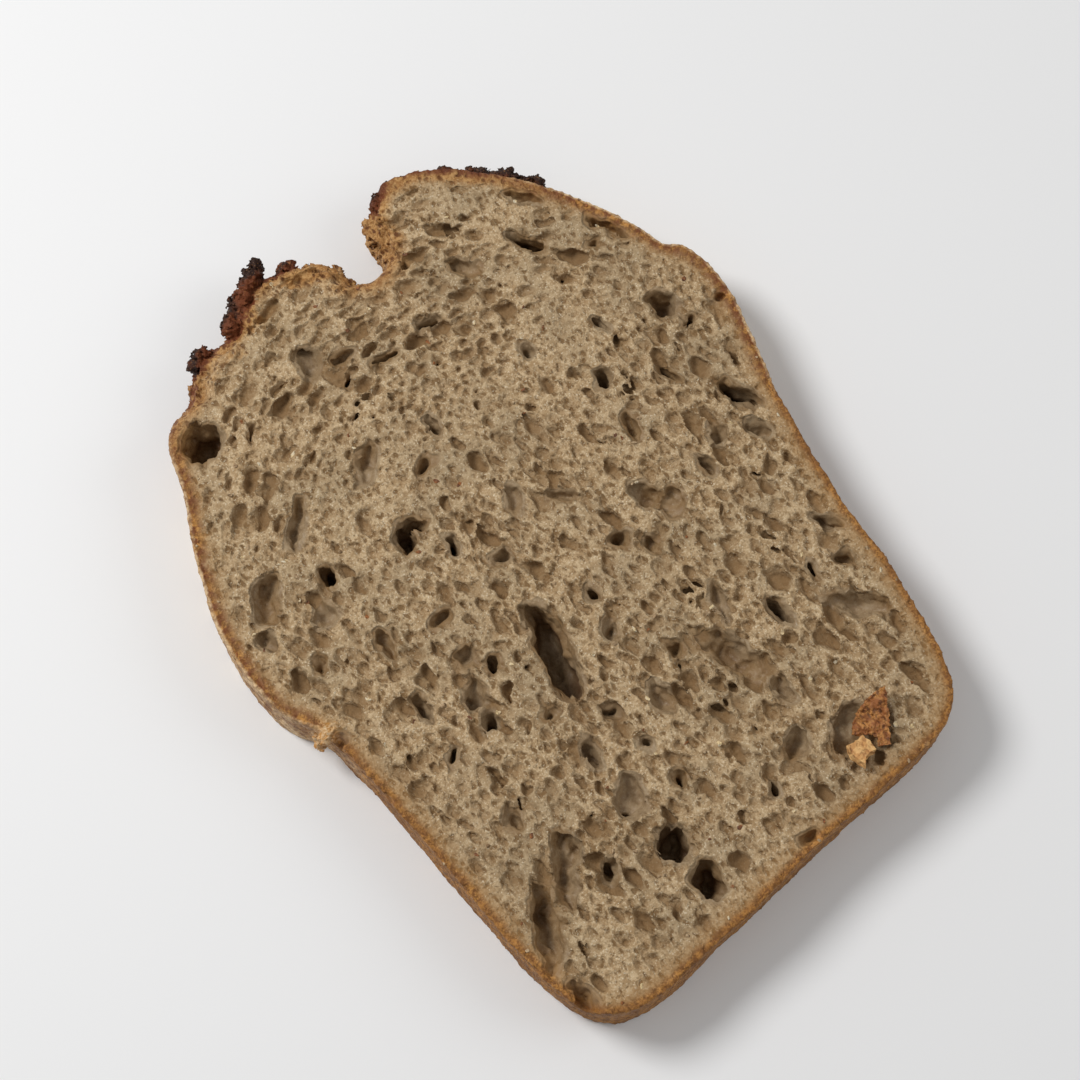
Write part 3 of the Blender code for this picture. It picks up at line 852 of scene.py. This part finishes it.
# two tones, the tone of the painted shade in the hollows, roughness
bitTones = {
    "looseCrumbs": (srgb(196, 170, 134), srgb(168, 140, 106), srgb(120, 90, 56), 0.85),
    "flourFlecks": (srgb(226, 200, 150), srgb(216, 202, 174), srgb(186, 156, 112), 0.6),
    "branFlecks": (srgb(158, 98, 48), srgb(116, 72, 40), srgb(82, 46, 26), 0.6),
    "crustFlake": (srgb(188, 130, 68), srgb(150, 90, 42), srgb(94, 52, 26), 0.6),
    "goldenChip": (srgb(226, 180, 118), srgb(206, 152, 92), srgb(164, 108, 60), 0.7),
}
bitMaterials = {name: buildBitMaterial(name, *tones) for name, tones in bitTones.items()}
print("materials:", len(bitMaterials) + 1)


def scatter(name, tree, density, size, seed):
    values = {"Density": density, "Size": size, "Seed": seed, "Material": bitMaterials[name]}
    piece = linkObject(name, runTree(name, tree, values, bread.copy()))
    print(name, len(piece.data.polygons), "faces")
    return piece


crumbScatterTree = buildScatterTree("crumbScatter", 0.8)
fleckScatterTree = buildScatterTree("fleckScatter", 0.3)
bits = [
    scatter("looseCrumbs", crumbScatterTree, seed=3, **looseBits["crumbs"]),
    scatter("flourFlecks", fleckScatterTree, seed=11, **looseBits["flecks"]),
    scatter("branFlecks", fleckScatterTree, seed=23, **looseBits["flecks"]),
]


# two chips of crust that lie on the face: corners of the outline, place with its height from the face,
# thickness, tilt, how far the edges curl up, and how lumpy the surface is
chips = {
    "crustFlake": {
        "corners": [(-4.4, 0.6), (-2.9, 1.9), (-1.0, 2.9), (1.6, 3.3), (4.6, 3.2), (3.5, 1.6), (2.2, -0.8),
                    (0.6, -2.6), (-0.6, -4.4), (-1.5, -4.0), (-2.2, -3.4), (-1.5, -2.4), (-1.8, -1.4),
                    (-3.0, -0.6)],
        "place": (24.6, -46.6, -0.3), "thick": 1.1, "tilt": (7, -9), "curl": 0.05, "lumps": 1.0,
    },
    "goldenChip": {
        "corners": [(-1.9, 0.9), (-1.5, 1.9), (0.2, 1.8), (1.8, 1.9), (2.0, 0.2), (1.7, -1.3), (0.7, -1.0),
                    (-0.5, -1.3), (-1.4, -2.3), (-1.7, -0.8)],
        "place": (19.3, -49.4, -0.3), "thick": 1.7, "tilt": (-12, 8), "curl": 0.03, "lumps": 0.5,
    },
}
chipFineness = 0.3


def buildChip(name, chip):
    cx, cy = drawing["centre"]
    bm = bmesh.new()
    rings = [[bm.verts.new((x, y, z)) for x, y in chip["corners"]] for z in (0.0, chip["thick"])]
    count = len(chip["corners"])
    for i in range(count):
        j = (i + 1) % count
        bm.faces.new((rings[0][i], rings[0][j], rings[1][j], rings[1][i]))
    bm.faces.new(rings[0][::-1])
    bm.faces.new(rings[1])
    bmesh.ops.recalc_face_normals(bm, faces=bm.faces)
    bmesh.ops.triangulate(bm, faces=[f for f in bm.faces if len(f.verts) > 4])
    for _ in range(5):
        longEdges = [e for e in bm.edges if e.calc_length() > chipFineness]
        bmesh.ops.subdivide_edges(bm, edges=longEdges, cuts=1, use_grid_fill=True)
        bmesh.ops.triangulate(bm, faces=[f for f in bm.faces if len(f.verts) > 3])
    bm.normal_update()
    for vert in bm.verts:
        lumps = 0.4 * noise.noise(vert.co * 0.9) + 0.34 * noise.noise(vert.co * 2.4 + Vector((3, 1, 7)))
        vert.co += vert.normal * lumps * chip["lumps"]
        vert.co.z += chip["curl"] * (vert.co.x ** 2 + 0.5 * vert.co.y ** 2)
    tiltX, tiltY = (math.radians(a) for a in chip["tilt"])
    matrix = Matrix.Rotation(tiltX, 4, "X") @ Matrix.Rotation(tiltY, 4, "Y")
    x, y, lift = chip["place"]
    matrix = Matrix.Translation(Vector((x - cx, y - cy, thickness + lift))) @ matrix
    bmesh.ops.transform(bm, matrix=Matrix.Scale(mm, 4) @ matrix, verts=bm.verts)
    mesh = bpy.data.meshes.new(name)
    bm.to_mesh(mesh)
    bm.free()
    mesh.materials.append(bitMaterials[name])
    mesh.shade_smooth()
    mesh.set_sharp_from_angle(angle=math.radians(40))
    print(name, len(mesh.polygons), "faces")
    return linkObject(name, mesh)


bits += [buildChip(name, chip) for name, chip in chips.items()]
for piece in bits:
    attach(piece, "root")
for helper in [wholeBread, *eggs.values()]:
    bpy.data.objects.remove(helper)

for piece in breadPieces:
    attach(piece, "root")
    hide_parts("slice")

floor = {"size": 4.0, "grey": 0.86, "roughness": 0.7}
lamps = {
    "keyLamp": {"place": (-0.25, 0.45, 0.6), "size": 0.3, "power": 4.2},
    "fillLamp": {"place": (0.5, -0.35, 0.5), "size": 0.5, "power": 1.0},
}
worldStrength = 0.34
view = {"azimuth": -39.5, "elevation": 72.0, "lens": 85.0, "distance": 0.42}


def buildFloor():
    bm = bmesh.new()
    bmesh.ops.create_grid(bm, x_segments=8, y_segments=8, size=floor["size"])
    mesh = bpy.data.meshes.new("floor")
    bm.to_mesh(mesh)
    bm.free()
    surface = linkObject("floor", mesh)
    material, tree, shader = newMaterial("paleFloor")
    shader.inputs["Base Color"].default_value = (floor["grey"], floor["grey"], floor["grey"], 1.0)
    shader.inputs["Roughness"].default_value = floor["roughness"]
    mesh.materials.append(material)


def addLamp(name, place, size, power):
    light = bpy.data.lights.new(name, "AREA")
    light.shape = "DISK"
    light.size = size
    light.energy = power
    lamp = bpy.data.objects.new(name, light)
    lamp.location = place
    lamp.rotation_euler = Vector(place).to_track_quat("Z", "Y").to_euler()  # looks at the middle of the floor
    bpy.context.scene.collection.objects.link(lamp)


def buildCamera():
    aim = Vector([(a + b) / 2 for a, b in zip(sliceLow, sliceHigh)])
    azimuth, elevation = math.radians(view["azimuth"]), math.radians(view["elevation"])
    level = math.cos(elevation)
    back = Vector((math.sin(azimuth) * level, -math.cos(azimuth) * level, math.sin(elevation)))
    data = bpy.data.cameras.new("camera")
    data.lens = view["lens"]
    data.sensor_width = 36.0
    data.clip_start = 0.01
    camera = bpy.data.objects.new("camera", data)
    camera.location = aim + back * view["distance"]
    camera.rotation_euler = back.to_track_quat("Z", "Y").to_euler()
    bpy.context.scene.collection.objects.link(camera)
    bpy.context.scene.camera = camera


def buildWorld():
    world = bpy.data.worlds.new("studio")
    world.use_nodes = True
    background = world.node_tree.nodes["Background"]
    background.inputs["Color"].default_value = (1, 1, 1, 1)
    background.inputs["Strength"].default_value = worldStrength
    bpy.context.scene.world = world
    bpy.context.scene.view_settings.view_transform = "Standard"


buildFloor()
for name, lamp in lamps.items():
    addLamp(name, **lamp)
buildCamera()
buildWorld()
print("floor, lamps, camera and world set")
